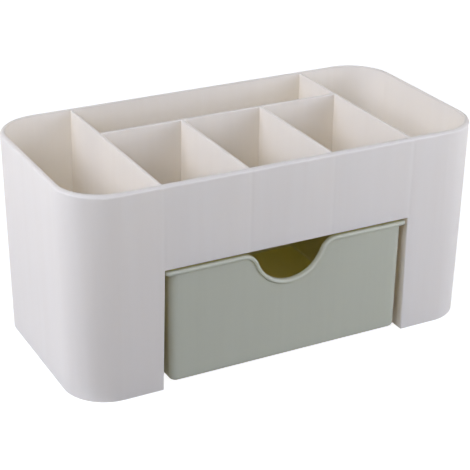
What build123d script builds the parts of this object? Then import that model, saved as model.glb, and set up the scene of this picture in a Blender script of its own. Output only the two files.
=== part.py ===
from build123d import *
import os
from math import radians, sqrt, tan

# A desktop makeup organizer: a white body moulded in one piece, open at the top in six
# compartments, and a green drawer that hangs by its rim on two rails in a bay under the middle.
# Millimetres, +Z up. The origin is on the ground under the middle of the body, and the drawer faces -Y.

# Body, sizes at the rim unless they say otherwise, angles in degrees
body_length = 220.0
body_depth = 111.5
body_height = 105.0
corner_radius = 23.2
outer_wall = 2.5
outer_draft = 0.78
rim_round = 1.6
rim_inner_break = 0.4

# Compartments: a deep pocket at each end, and shallow cells over the drawer bay
pocket_width = 40.5
divider_wall = 1.5
divider_drop = 0.7
divider_round = 0.45
rear_cell_depth = 34.5
front_cell_count = 3
pocket_floor = 2.0
deck_floor = 2.0
floor_round = 2.0
inner_draft = 0.8

# Drawer bay, open at the front and underneath, between the end pockets
bay_height = 62.75
bay_wall = 1.75
bay_edge_round = 0.5
rail_width = 2.3
rail_height = 1.8
rail_setback = 7.0

# Drawer
drawer_wall = 1.6
drawer_floor = 1.6
drawer_draft = 0.4
drawer_corner_radius = 4.0
drawer_bottom_round = 1.8
drawer_inner_radius = 2.4
drawer_inner_round = 1.0
ground_clearance = 3.0

# The drawer's rim, which stands out of the body's front, and the clearances that it runs with
lip_height = 2.0
lip_proud = 0.8
lip_corner_radius = 2.8
lip_round = 1.1
lip_break = 0.4
lip_stand = 0.5
headroom = 1.2
running_gap = 0.2
side_clearance = 0.3
rail_clearance = 0.4
rear_clearance = 0.6

# Finger scoop in the drawer's front
scoop_radius = 18.4
scoop_depth = 17.5
scoop_mouth_round = 8.6

# Cuts run past the faces that they open by this much
overrun = 1.0
# Faces and edges are found within this distance of where they lie
reach = 0.01


def bay_half(height):
    """Half the clear width of the bay at a height: its side walls spread towards the ground."""
    return pocket_edge - bay_wall + (body_height - height) * tan(radians(inner_draft))


def outer_lean(height):
    """How far the outside has drawn in, from the rim down to a height."""
    return (body_height - height) * tan(radians(outer_draft))


# Plan of the compartments at the rim
inside_length = body_length - 2 * outer_wall
inside_depth = body_depth - 2 * outer_wall
inside_radius = corner_radius - outer_wall
pocket_edge = inside_length / 2 - pocket_width
cell_half = pocket_edge - divider_wall
front_cell_depth = inside_depth - rear_cell_depth - divider_wall
front_cell_pitch = (2 * cell_half + divider_wall) / front_cell_count
front_cell_width = front_cell_pitch - divider_wall
middle_cell_depth = body_height - bay_height - deck_floor
divider_top = body_height - divider_drop

# Heights of the rails and of the drawer's rim between the rails and the deck
lip_top = bay_height - headroom
lip_bottom = lip_top - lip_height
rail_top = lip_bottom - running_gap

# Plan of the bay, the rails and the drawer
bay_front = outer_lean(bay_height) - body_depth / 2
bay_rear = body_depth / 2 - outer_lean(0) - outer_wall
rail_inner = bay_half(bay_height) - rail_width
rail_front = bay_front + rail_setback
lip_front = bay_front - lip_stand
lip_rear = bay_rear - rear_clearance
lip_half = bay_half(bay_height) - side_clearance
tub_half = rail_inner - rail_clearance
tub_front = lip_front + lip_proud
tub_rear = lip_rear - lip_proud
tub_depth = tub_rear - tub_front
drawer_middle = (lip_front + lip_rear) / 2

# Two deep end pockets, as the cores that leave them: they narrow towards their floors
with BuildPart() as pockets:
    with BuildSketch(Plane.XY.offset(body_height)):
        RectangleRounded(inside_length, inside_depth, inside_radius)
        with Locations((pocket_edge, 0)):
            Rectangle(body_length, body_depth, align=(Align.MAX, Align.CENTER), mode=Mode.SUBTRACT)
    extrude(amount=pocket_floor - body_height)
    draft(pockets.faces().filter_by(Axis.Z, reverse=True), Plane.XY.offset(body_height), -inner_draft)
    fillet(pockets.edges().group_by(Axis.Z)[0], radius=floor_round)
    mirror(about=Plane.YZ)

# The long rear cell's core
with BuildPart() as rear_cell:
    with BuildSketch(Plane.XY.offset(body_height)):
        with Locations((0, (inside_depth - rear_cell_depth) / 2)):
            Rectangle(2 * cell_half, rear_cell_depth)
    extrude(amount=-middle_cell_depth)
    draft(rear_cell.faces().filter_by(Axis.Z, reverse=True), Plane.XY.offset(body_height), -inner_draft)
    fillet(rear_cell.edges().group_by(Axis.Z)[0], radius=floor_round)

# The core of one front cell, the middle one of the row
with BuildPart() as front_cell:
    with BuildSketch(Plane.XY.offset(body_height)):
        with Locations((0, (front_cell_depth - inside_depth) / 2)):
            Rectangle(front_cell_width, front_cell_depth)
    extrude(amount=-middle_cell_depth)
    draft(front_cell.faces().filter_by(Axis.Z, reverse=True), Plane.XY.offset(body_height), -inner_draft)
    fillet(front_cell.edges().group_by(Axis.Z)[0], radius=floor_round)

# The shallow space over the dividers, which stand a little lower than the rim
with BuildPart() as recess:
    with BuildSketch(Plane.XY.offset(body_height)):
        RectangleRounded(inside_length, inside_depth, inside_radius)
    extrude(amount=-divider_drop)
    draft(recess.faces().filter_by(Axis.Z, reverse=True), Plane.XY.offset(body_height), -inner_draft)

# The bay's core: it comes out of the front, and its sides spread towards the ground
with BuildPart() as bay:
    with BuildSketch(Plane.XZ.offset(-bay_rear)):
        with BuildLine():
            Polyline(
                (-bay_half(-overrun), -overrun),
                (-bay_half(bay_height), bay_height),
                (bay_half(bay_height), bay_height),
                (bay_half(-overrun), -overrun),
                close=True,
            )
        make_face()
    extrude(amount=bay_rear + body_depth / 2 + overrun)

# Body: the outside, then the rim, the compartments, the bay and its rails
with BuildPart() as body:
    with BuildSketch(Plane.XY.offset(body_height)):
        RectangleRounded(body_length, body_depth, corner_radius)
    extrude(amount=-body_height)
    draft(body.faces().filter_by(Axis.Z, reverse=True), Plane.XY.offset(body_height), -outer_draft)
    fillet(body.faces().sort_by(Axis.Z)[-1].edges(), radius=rim_round)

    add(recess.part, mode=Mode.SUBTRACT)
    chamfer(body.faces().sort_by(Axis.Z)[-1].inner_wires().edges(), length=rim_inner_break)

    add(pockets.part, mode=Mode.SUBTRACT)
    add(rear_cell.part, mode=Mode.SUBTRACT)
    with GridLocations(front_cell_pitch, front_cell_depth, front_cell_count, 1):
        add(front_cell.part, mode=Mode.SUBTRACT)
    add(bay.part, mode=Mode.SUBTRACT)

    # The dividers' top edges, but not their ends at the outer wall
    divider_edges = body.edges().filter_by_position(Axis.Z, divider_top - reach, divider_top + reach)
    inside_end = inside_depth / 2 - divider_wall
    fillet(divider_edges.filter_by_position(Axis.Y, -inside_end, inside_end), radius=divider_round)

    # The edges of the bay's mouth on the front face
    front_face = body.faces().filter_by(GeomType.PLANE).sort_by(Axis.Y)[0]
    mouth_half = bay_half(0) + reach
    mouth_edges = front_face.edges().filter_by_position(Axis.X, -mouth_half, mouth_half)
    fillet(mouth_edges.filter_by_position(Axis.Z, reach, bay_height + reach), radius=bay_edge_round)

    # Rails, rooted in the bay's side walls and its rear wall
    rail_root = bay_half(rail_top) + bay_wall / 2
    rail_end = bay_rear + outer_wall / 2
    with BuildSketch(Plane.XY.offset(rail_top)):
        for side in (-1, 1):
            with Locations((side * (rail_inner + rail_root) / 2, (rail_front + rail_end) / 2)):
                Rectangle(rail_root - rail_inner, rail_end - rail_front)
    extrude(amount=-rail_height)

body.part.label = "body"


def scoop_outline(growth, ceiling):
    """Sketch of the finger scoop up to a ceiling: a round bowl that rolls over into the rim on both sides.

    Growth moves the whole outline into the drawer's front, as the rim's lower edge follows its upper one.
    """
    centre_height = lip_top - scoop_depth + scoop_radius
    span = scoop_radius + scoop_mouth_round
    drop = centre_height - lip_top + scoop_mouth_round
    mouth = sqrt(span**2 - drop**2)
    mouth_height = lip_top - growth
    bowl_radius = scoop_radius + growth
    bowl_share = bowl_radius / span
    joint_x = mouth * bowl_share
    joint_height = centre_height - drop * bowl_share
    with BuildSketch() as outline:
        with BuildLine():
            ThreePointArc((-joint_x, joint_height), (0, centre_height - bowl_radius), (joint_x, joint_height))
            for side in (-1, 1):
                TangentArc((side * mouth, mouth_height), (side * joint_x, joint_height), tangent=(-side, 0))
                Line((side * mouth, mouth_height), (side * mouth, ceiling))
            Line((-mouth, ceiling), (mouth, ceiling))
        make_face()
    return outline.sketch


scoop = scoop_outline(0, lip_top + overrun)
scoop_with_rim = scoop_outline(lip_height, lip_top)

# Drawer: a drafted tub with an outward rim that rides on the rails and follows the scoop in front
with BuildPart() as drawer:
    with BuildSketch(Plane.XY.offset(lip_top)):
        with Locations((0, drawer_middle)):
            RectangleRounded(2 * tub_half, tub_depth, drawer_corner_radius)
    extrude(amount=ground_clearance - lip_top)
    draft(drawer.faces().filter_by(Axis.Z, reverse=True), Plane.XY.offset(lip_top), -drawer_draft)
    fillet(drawer.edges().group_by(Axis.Z)[0], radius=drawer_bottom_round)

    with BuildSketch(Plane.XY.offset(lip_bottom)):
        with Locations((0, drawer_middle)):
            RectangleRounded(2 * lip_half, lip_rear - lip_front, lip_corner_radius)
    extrude(amount=lip_height)

    with BuildSketch(Plane.XZ.offset(-lip_front)):
        add(scoop_with_rim)
    extrude(amount=-lip_proud - drawer_wall / 2)

    # Break the rim's lower edge in front, which carries on round the corners and along the sides
    lip_edges = drawer.edges().filter_by_position(Axis.Y, lip_front - reach, lip_front + reach)
    lower_edges = lip_edges.filter_by(Axis.Z, reverse=True).filter_by_position(Axis.Z, 0, lip_top - reach)
    chamfer(lower_edges, length=lip_break)

# The drawer's hollow, as the core that leaves it
with BuildPart() as hollow:
    with BuildSketch(Plane.XY.offset(lip_top)):
        with Locations((0, drawer_middle)):
            RectangleRounded(2 * (tub_half - drawer_wall), tub_depth - 2 * drawer_wall, drawer_inner_radius)
    extrude(amount=ground_clearance + drawer_floor - lip_top)
    draft(hollow.faces().filter_by(Axis.Z, reverse=True), Plane.XY.offset(lip_top), -drawer_draft)
    fillet(hollow.edges().group_by(Axis.Z)[0], radius=drawer_inner_round)

with drawer:
    add(hollow.part, mode=Mode.SUBTRACT)
    with BuildSketch(Plane.XZ.offset(overrun - lip_front)):
        add(scoop)
    extrude(amount=-lip_proud - 2 * drawer_wall - overrun, mode=Mode.SUBTRACT)

    # Roll the rim's upper edge in the same way
    lip_edges = drawer.edges().filter_by_position(Axis.Y, lip_front - reach, lip_front + reach)
    fillet(lip_edges.filter_by_position(Axis.Z, lip_top - reach, lip_top + reach), radius=lip_round)

drawer.part.label = "drawer"

os.makedirs("parts", exist_ok=True)
export_step(body.part, "parts/body.step")
export_step(drawer.part, "parts/drawer.step")
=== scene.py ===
import math

import bmesh
import bpy
from mathutils import Matrix, Vector


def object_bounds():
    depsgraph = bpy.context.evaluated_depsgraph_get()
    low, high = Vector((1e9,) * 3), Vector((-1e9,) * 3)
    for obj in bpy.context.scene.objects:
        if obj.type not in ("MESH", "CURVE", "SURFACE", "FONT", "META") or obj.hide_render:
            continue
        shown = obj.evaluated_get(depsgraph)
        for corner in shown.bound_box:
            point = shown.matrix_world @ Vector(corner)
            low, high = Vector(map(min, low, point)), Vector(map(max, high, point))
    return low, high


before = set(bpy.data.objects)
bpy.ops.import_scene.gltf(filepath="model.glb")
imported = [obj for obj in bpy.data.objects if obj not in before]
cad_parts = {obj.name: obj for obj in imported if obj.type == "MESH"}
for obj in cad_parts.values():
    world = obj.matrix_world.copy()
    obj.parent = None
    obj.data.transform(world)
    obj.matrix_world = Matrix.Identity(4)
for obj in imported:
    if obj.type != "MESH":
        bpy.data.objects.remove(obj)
cad_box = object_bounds()

MM = 0.001
BLACK = (0.0, 0.0, 0.0, 1.0)
WHITE = (1.0, 1.0, 1.0, 1.0)

# Camera, fitted to the outline and the corners in the photograph
PHOTO_PIXELS = 470
FOCAL_PIXELS = 1429.83
CAMERA_AZIMUTH = -27.9736
CAMERA_ELEVATION = 25.1166
CAMERA_ROLL = -0.7248
CAMERA_DISTANCE = 713.52 * MM
CAMERA_TARGET = Vector((-6.90, -11.11, 50.17)) * MM
CAMERA_NEAREST = 10 * MM
SENSOR_WIDTH = 36.0

# Places on the body where a wall behind the outer skin leaves a sink line
SIDE_DIVIDER_X = 66.25 * MM
SHORT_DIVIDER_X = 22.08 * MM
OUTER_SKIN_Y = 53.9 * MM
SKIN_FADE = 0.2 * MM
DECK_HEIGHT = 62.75 * MM
DECK_FADE = 2 * MM
SINK_DEPTH = 0.2 * MM
SINK_HALF_WIDTH = 1.1 * MM

# Boxes around the body's rim, whose top gets a painted darker shade, the thin deck over the drawer
# bay, and the inside of the drawer's tub, where the shade is painted olive
RIM_BOX = (Vector((-112.0, -58.0, 104.4)) * MM, Vector((112.0, 58.0, 106.0)) * MM)
DECK_BOX = (Vector((-65.0, -46.0, 62.25)) * MM, Vector((65.0, 52.0, 65.25)) * MM)
TUB_BOX = (Vector((-61.6, -53.4, 4.4)) * MM, Vector((61.6, 48.9, 62.0)) * MM)
BOX_FADE = 0.4 * MM

# Noises of the plastic: waves per metre, detail and roughness
MOTTLE = (22.0, 4.0, 0.55)
PATCHES = (60.0, 3.0, 0.6)
WAVES = (38.0, 1.0, 0.5)
GRAIN = (2600.0, 2.0, 0.5)
STREAKS = (210.0, 3.0, 0.6)
STREAK_STRETCH = (1.0, 1.0, 0.04)
NOISE_RANGE = (0.3, 0.7)

# How far each of them changes the plastic's colour, gloss and height
MOTTLE_SHARE = 0.06
STREAK_SHARE = 0.8
# Share of the painted shade in corners and recesses
PAINTED_SHADE_SHARE = 0.7
WORN_SHARE = 0.3
WORN_ROUGHNESS = 0.06
GLOSS_SPREAD = 0.05
GRAIN_HEIGHT = 0.004 * MM
WAVE_HEIGHT = 0.05 * MM
PLASTIC_IOR = 1.49

# Worn edges: how far the rounded normal leans, how open the place is, and the patches of wear
EDGE_RADIUS = 0.9 * MM
EDGE_SAMPLES = 6
EDGE_LEAN = (0.995, 0.86)
EDGE_OPEN = (0.35, 0.7)
WEAR_PATCHES = (0.35, 0.6)
LEAST_WEAR = 0.35
# Samples of the openness that sets both the worn edges and the painted shade in corners
SHELTER_SAMPLES = 8

# Floor: a round cove in metres, and the patch under the object
COVE_FLAT = 1.9
COVE_BEND = 0.8
COVE_TOP = 3.0
COVE_SIDES = 96
COVE_STEPS = 12
COVE_COLOUR = (0.4, 0.4, 0.4, 1.0)
COVE_SPECULAR = 0.1
COVE_GLOW = 0.9
SHADE_COLOUR = (0.5, 0.5, 0.5, 1.0)
SHADE_INSET = 1.0 * MM
SHADE_HEIGHT = -0.2 * MM
MATT = 0.9

# Soft lights: name, place in metres, side in metres and watts
RIG = (
    ("left_high", (-1.15, 0.1, 0.95), 0.9, 10.6),
    ("over_left", (-0.9, 0.1, 1.3), 1.1, 2.32),
    ("over_left_front", (-0.6, -0.55, 1.2), 0.8, 1.74),
    ("left_front", (-0.95, -0.55, 0.9), 0.7, 4.44),
    ("left", (-1.4, 0.1, 0.55), 1.0, 3.09),
    ("left_front_low", (-1.2, -0.75, 0.5), 0.6, 1.25),
    ("camera_side", (-0.5, -1.05, 0.75), 0.6, 1.83),
    ("right_front", (0.9, -1.2, 0.7), 0.9, 10.0),
    ("right", (1.3, -0.45, 0.35), 0.6, 1.2),
    ("by_right", (0.5, -0.42, 0.2), 0.25, 0.43),
    ("beside_leg", (0.36, -0.34, 0.1), 0.2, 0.58),
    ("back_low", (0.1, 1.2, 0.25), 0.5, 1.06),
)
LIGHT_COLOUR = (0.848, 0.878, 1.0)
LIGHT_AIM = Vector((0.0, 0.0, 0.05))
DIFFUSE_BOUNCES = 8

# Bounce of the ground behind the object, and how softly it ends beside the object and at the horizon
BOUNCE_STRENGTH = 1.09
BOUNCE_FADE = 0.3
HORIZON_FADE = 0.05


def link_or_set(tree, socket, value):
    """Links an output to the socket, or sets the socket to a plain value."""
    if isinstance(value, bpy.types.NodeSocket):
        tree.links.new(value, socket)
    else:
        socket.default_value = value


def add_node(tree, kind, inputs=None, **settings):
    """Adds a node with its settings, and fills its inputs by name or number."""
    made = tree.nodes.new(kind)
    for name, value in settings.items():
        setattr(made, name, value)
    for key, value in (inputs or {}).items():
        link_or_set(tree, made.inputs[key], value)
    return made


def maths(tree, operation, first, second=0.0):
    """Output of one Math node."""
    return add_node(tree, "ShaderNodeMath", {0: first, 1: second}, operation=operation).outputs[0]


def noise(tree, place, scale, detail, roughness):
    """Grey output of a noise texture with scale in waves per metre."""
    inputs = {"Vector": place, "Scale": scale, "Detail": detail, "Roughness": roughness}
    return add_node(tree, "ShaderNodeTexNoise", inputs).outputs["Fac"]


def ramp_between(tree, value, low, high, start=0.0, end=1.0):
    """Maps value from low..high to start..end, held at both ends."""
    inputs = {"Value": value, "From Min": low, "From Max": high, "To Min": start, "To Max": end}
    return add_node(tree, "ShaderNodeMapRange", inputs, clamp=True).outputs[0]


def mix_colour(tree, share, first, second):
    """Colour that goes from first to second as share goes from 0 to 1."""
    made = add_node(tree, "ShaderNodeMix", data_type="RGBA")
    colour_inputs = [socket for socket in made.inputs if socket.type == "RGBA"]
    link_or_set(tree, made.inputs[0], share)
    link_or_set(tree, colour_inputs[0], first)
    link_or_set(tree, colour_inputs[1], second)
    return [socket for socket in made.outputs if socket.type == "RGBA"][0]


def bell(tree, value, centre, half_width):
    """A smooth bump of height 1 around centre."""
    offset = maths(tree, "SUBTRACT", value, centre)
    share = maths(tree, "DIVIDE", offset, half_width)
    square = maths(tree, "MULTIPLY", share, share)
    return maths(tree, "EXPONENT", maths(tree, "MULTIPLY", square, -1.0))


def sink_lines(tree, place):
    """Depth in metres of the sink lines on the outer skin opposite the dividers."""
    parts = add_node(tree, "ShaderNodeSeparateXYZ", {0: place}).outputs
    across = maths(tree, "ABSOLUTE", parts["X"])
    front = ramp_between(tree, parts["Y"], -OUTER_SKIN_Y, -OUTER_SKIN_Y - SKIN_FADE)
    rear = ramp_between(tree, parts["Y"], OUTER_SKIN_Y, OUTER_SKIN_Y + SKIN_FADE)
    above_deck = ramp_between(tree, parts["Z"], DECK_HEIGHT - DECK_FADE, DECK_HEIGHT + DECK_FADE)
    side = bell(tree, across, SIDE_DIVIDER_X, SINK_HALF_WIDTH)
    short = bell(tree, across, SHORT_DIVIDER_X, SINK_HALF_WIDTH)
    front_lines = maths(tree, "MULTIPLY", maths(tree, "ADD", side, short), above_deck)
    on_front = maths(tree, "MULTIPLY", front_lines, front)
    on_rear = maths(tree, "MULTIPLY", side, rear)
    return maths(tree, "MULTIPLY", maths(tree, "ADD", on_front, on_rear), SINK_DEPTH)


def box_share(tree, place, box):
    """1 inside the box between two corners, fading to 0 just outside it."""
    parts = add_node(tree, "ShaderNodeSeparateXYZ", {0: place}).outputs
    share = 1.0
    for axis, low, high in zip("XYZ", *box):
        over = ramp_between(tree, parts[axis], low - BOX_FADE, low)
        under = ramp_between(tree, parts[axis], high + BOX_FADE, high)
        share = maths(tree, "MULTIPLY", maths(tree, "MULTIPLY", over, under), share)
    return share


def worn_edges(tree, openness, patches):
    """1 where an open outer edge is worn most, in patches, and 0 away from the edges."""
    rounded = add_node(tree, "ShaderNodeBevel", {"Radius": EDGE_RADIUS}, samples=EDGE_SAMPLES)
    facing = add_node(tree, "ShaderNodeNewGeometry").outputs["Normal"]
    along = add_node(
        tree, "ShaderNodeVectorMath", {0: rounded.outputs[0], 1: facing}, operation="DOT_PRODUCT")
    edge = ramp_between(tree, along.outputs["Value"], *EDGE_LEAN)
    convex = ramp_between(tree, openness, *EDGE_OPEN)
    patchy = ramp_between(tree, patches, *WEAR_PATCHES, LEAST_WEAR, 1.0)
    return maths(tree, "MULTIPLY", maths(tree, "MULTIPLY", edge, convex), patchy)


def flow_streaks(tree, place):
    """Noise drawn out upwards, as the flow of the melt leaves it."""
    drawn_out = add_node(
        tree, "ShaderNodeVectorMath", {0: place, 1: STREAK_STRETCH}, operation="MULTIPLY")
    return noise(tree, drawn_out.outputs["Vector"], *STREAKS)


def moulded_plastic(name, base, corner, pale, roughness, through, through_share, shelter_reach,
                    painted_shade_range, thin=None, painted_olive_shade=None, painted_rim_shade=None, sinks=False):
    """Satin moulded polypropylene: fine grain, slow waves, faint upright flow streaks, patchy gloss
    and paler worn edges, with painted shade in corners and recesses (the random mottle leans a
    little to the same shade colour), and where given a painted shade of another colour inside a box
    and a painted darker shade on a box at the top of the rim. Light comes through it, and more of it
    where it is thin."""
    material = bpy.data.materials.new(name)
    material.use_nodes = True
    tree = material.node_tree
    shader = tree.nodes["Principled BSDF"]
    place = add_node(tree, "ShaderNodeTexCoord").outputs["Object"]

    open_sky = add_node(
        tree, "ShaderNodeAmbientOcclusion", {"Distance": shelter_reach}, samples=SHELTER_SAMPLES)
    openness = open_sky.outputs["AO"]
    painted_shade = ramp_between(tree, openness, *painted_shade_range)
    patches = noise(tree, place, *PATCHES)
    worn = worn_edges(tree, openness, patches)

    # Colour
    # Painted shade: inside the given box the shade colour turns to a painted olive, for light
    # bounced inside the tub
    if painted_olive_shade:
        painted_olive_box, painted_olive_colour = painted_olive_shade
        corner = mix_colour(tree, box_share(tree, place, painted_olive_box), corner, painted_olive_colour)
    mottle = ramp_between(tree, noise(tree, place, *MOTTLE), *NOISE_RANGE, 0.0, MOTTLE_SHARE)
    streaks = ramp_between(tree, flow_streaks(tree, place), *NOISE_RANGE, 0.0, STREAK_SHARE)
    colour = mix_colour(tree, mottle, base, corner)
    colour = mix_colour(tree, streaks, colour, pale)
    # Painted shade: corners and recesses lean towards the shade colour
    colour = mix_colour(tree, maths(tree, "MULTIPLY", painted_shade, PAINTED_SHADE_SHARE), colour, corner)
    colour = mix_colour(tree, maths(tree, "MULTIPLY", worn, WORN_SHARE), colour, pale)
    # Painted shade: the top of the rim is darkened
    if painted_rim_shade:
        painted_rim_box, painted_rim_colour = painted_rim_shade
        colour = mix_colour(tree, box_share(tree, place, painted_rim_box), colour, painted_rim_colour)
    link_or_set(tree, shader.inputs["Base Color"], colour)

    # Gloss
    gloss = ramp_between(
        tree, patches, *NOISE_RANGE, roughness - GLOSS_SPREAD, roughness + GLOSS_SPREAD)
    dulled = maths(tree, "ADD", gloss, maths(tree, "MULTIPLY", worn, WORN_ROUGHNESS))
    link_or_set(tree, shader.inputs["Roughness"], dulled)
    shader.inputs["IOR"].default_value = PLASTIC_IOR

    # Height
    grain = maths(tree, "MULTIPLY", noise(tree, place, *GRAIN), GRAIN_HEIGHT)
    waves = maths(tree, "MULTIPLY", noise(tree, place, *WAVES), WAVE_HEIGHT)
    height = maths(tree, "ADD", grain, waves)
    if sinks:
        height = maths(tree, "SUBTRACT", height, sink_lines(tree, place))
    bump = add_node(tree, "ShaderNodeBump", {"Strength": 1.0, "Distance": 1.0, "Height": height})
    link_or_set(tree, shader.inputs["Normal"], bump.outputs["Normal"])

    # Light that comes through
    share = through_share
    if thin:
        thin_box, thin_share = thin
        thinned = box_share(tree, place, thin_box)
        share = ramp_between(tree, thinned, 0.0, 1.0, through_share, thin_share)
    glow_through = add_node(tree, "ShaderNodeBsdfTranslucent", {"Color": through})
    mixed = add_node(tree, "ShaderNodeMixShader", {
        0: share, 1: shader.outputs["BSDF"], 2: glow_through.outputs["BSDF"]})
    tree.links.new(mixed.outputs["Shader"], tree.nodes["Material Output"].inputs["Surface"])
    return material


def dress(node_name, material):
    """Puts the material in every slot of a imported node."""
    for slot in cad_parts[node_name].material_slots:
        slot.material = material


def add_object(name, data):
    """Adds an object with its data to the scene."""
    made = bpy.data.objects.new(name, data)
    bpy.context.scene.collection.objects.link(made)
    return made


def matt_shader(mesh, name, colour):
    """Gives the mesh a dull material of one colour, and returns its shader."""
    material = bpy.data.materials.new(name)
    material.use_nodes = True
    mesh.materials.append(material)
    shader = material.node_tree.nodes["Principled BSDF"]
    shader.inputs["Base Color"].default_value = colour
    shader.inputs["Roughness"].default_value = MATT
    return shader


def make_floor():
    """A pale studio floor that curves up into a wall all round, as a photographer's cove does."""
    profile = [(COVE_FLAT, 0.0)]
    for step in range(1, COVE_STEPS + 1):
        angle = 0.5 * math.pi * step / COVE_STEPS
        reach = COVE_FLAT + COVE_BEND * math.sin(angle)
        profile.append((reach, COVE_BEND * (1.0 - math.cos(angle))))
    profile.append((COVE_FLAT + COVE_BEND, COVE_TOP))

    builder = bmesh.new()
    middle = builder.verts.new((0.0, 0.0, 0.0))
    rings = []
    for radius, height in profile:
        ring = []
        for k in range(COVE_SIDES):
            turn = 2.0 * math.pi * k / COVE_SIDES
            corner = (radius * math.cos(turn), radius * math.sin(turn), height)
            ring.append(builder.verts.new(corner))
        rings.append(ring)
    for k in range(COVE_SIDES):
        after = (k + 1) % COVE_SIDES
        builder.faces.new((middle, rings[0][k], rings[0][after]))
        for inner, outer in zip(rings, rings[1:]):
            builder.faces.new((inner[k], outer[k], outer[after], inner[after]))
    for face in builder.faces:
        face.smooth = True
    mesh = bpy.data.meshes.new("floor")
    builder.to_mesh(mesh)
    builder.free()

    floor = add_object("floor", mesh)
    shader = matt_shader(mesh, "floor_pale", COVE_COLOUR)
    shader.inputs["Specular IOR Level"].default_value = COVE_SPECULAR
    shader.inputs["Emission Color"].default_value = WHITE
    shader.inputs["Emission Strength"].default_value = COVE_GLOW
    # The bright cove is seen and reflected, and the ground of the world stands in for its bounce
    floor.visible_diffuse = False
    floor.visible_shadow = False
    floor.visible_transmission = False


def make_floor_shade():
    """The patch of floor that the object stands on, which stops light from below the object."""
    low, high = cad_box
    left, right = low.x + SHADE_INSET, high.x - SHADE_INSET
    front, rear = low.y + SHADE_INSET, high.y - SHADE_INSET
    corners = [(x, y, SHADE_HEIGHT)
               for x, y in ((left, front), (right, front), (right, rear), (left, rear))]
    mesh = bpy.data.meshes.new("floor_shade")
    mesh.from_pydata(corners, [], [(0, 1, 2, 3)])
    shade = add_object("floor_shade", mesh)
    matt_shader(mesh, "floor_shade", SHADE_COLOUR)
    shade.visible_camera = False
    shade.visible_glossy = False


def make_light(name, place, side, watts):
    """A square soft light aimed at the object, not seen by the camera itself."""
    lamp = bpy.data.lights.new(name, "AREA")
    lamp.shape = "SQUARE"
    lamp.size = side
    lamp.energy = watts
    lamp.color = LIGHT_COLOUR
    light = add_object(name, lamp)
    light.location = place
    light.rotation_euler = (LIGHT_AIM - Vector(place)).to_track_quat("-Z", "Y").to_euler()
    light.visible_camera = False


def make_camera():
    """The camera of the photograph."""
    turn = math.radians(CAMERA_AZIMUTH)
    rise = math.radians(CAMERA_ELEVATION)
    roll = math.radians(CAMERA_ROLL)
    level = math.cos(rise)
    back = Vector((math.sin(turn) * level, -math.cos(turn) * level, math.sin(rise)))
    right = (-back).cross(Vector((0.0, 0.0, 1.0))).normalized()
    down = (-back).cross(right)
    rolled_right = math.cos(roll) * right + math.sin(roll) * down
    rolled_down = -math.sin(roll) * right + math.cos(roll) * down
    matrix = Matrix((rolled_right, -rolled_down, back)).transposed().to_4x4()
    matrix.translation = CAMERA_TARGET + back * CAMERA_DISTANCE
    lens = bpy.data.cameras.new("camera")
    lens.sensor_width = SENSOR_WIDTH
    lens.lens = SENSOR_WIDTH * FOCAL_PIXELS / PHOTO_PIXELS
    lens.clip_start = CAMERA_NEAREST
    camera = add_object("camera", lens)
    camera.matrix_world = matrix
    bpy.context.scene.camera = camera


def make_world():
    """A dark studio, apart from the bounce of the ground behind the object."""
    world = bpy.data.worlds.new("studio")
    world.use_nodes = True
    tree = world.node_tree
    bounce = tuple(BOUNCE_STRENGTH * channel for channel in LIGHT_COLOUR) + (1.0,)
    facing = add_node(tree, "ShaderNodeTexCoord").outputs["Generated"]
    parts = add_node(tree, "ShaderNodeSeparateXYZ", {0: facing}).outputs
    behind = ramp_between(tree, parts["Y"], -BOUNCE_FADE, BOUNCE_FADE)
    above = ramp_between(tree, parts["Z"], -HORIZON_FADE, HORIZON_FADE)
    ground = mix_colour(tree, behind, BLACK, bounce)
    colour = mix_colour(tree, above, ground, BLACK)
    background = tree.nodes["Background"]
    link_or_set(tree, background.inputs["Color"], colour)
    background.inputs["Strength"].default_value = 1.0
    bpy.context.scene.world = world


make_camera()
bpy.context.scene.cycles.diffuse_bounces = DIFFUSE_BOUNCES
bpy.context.scene.view_settings.view_transform = "Standard"

dress("body", moulded_plastic(
    "body_satin",
    base=(0.923, 0.911, 0.891, 1.0),
    # Painted warm shade for corners and recesses, also the far tone of the random mottle
    corner=(0.907, 0.85, 0.735, 1.0),
    pale=(0.95, 0.945, 0.93, 1.0),
    roughness=0.5,
    through=(0.97, 0.89, 0.74, 1.0),
    through_share=0.34,
    shelter_reach=45 * MM,
    painted_shade_range=(0.6, 0.12),
    thin=(DECK_BOX, 0.66),
    # Painted darker shade on the top of the rim
    painted_rim_shade=(RIM_BOX, (0.83, 0.82, 0.80, 1.0)),
    sinks=True))
dress("drawer", moulded_plastic(
    "drawer_satin",
    base=(0.578, 0.602, 0.526, 1.0),
    # Painted dark olive shade in the drawer's gaps and recesses, also the far tone of the random
    # mottle
    corner=(0.34, 0.33, 0.22, 1.0),
    pale=(0.594, 0.618, 0.541, 1.0),
    roughness=0.45,
    through=(0.90, 0.84, 0.12, 1.0),
    through_share=0.27,
    shelter_reach=90 * MM,
    painted_shade_range=(0.3, 0.12),
    # Painted olive shade inside the drawer's tub
    painted_olive_shade=(TUB_BOX, (0.92, 0.87, 0.11, 1.0))))

make_floor()
make_floor_shade()
make_world()
for name, place, side, watts in RIG:
    make_light(name, place, side, watts)
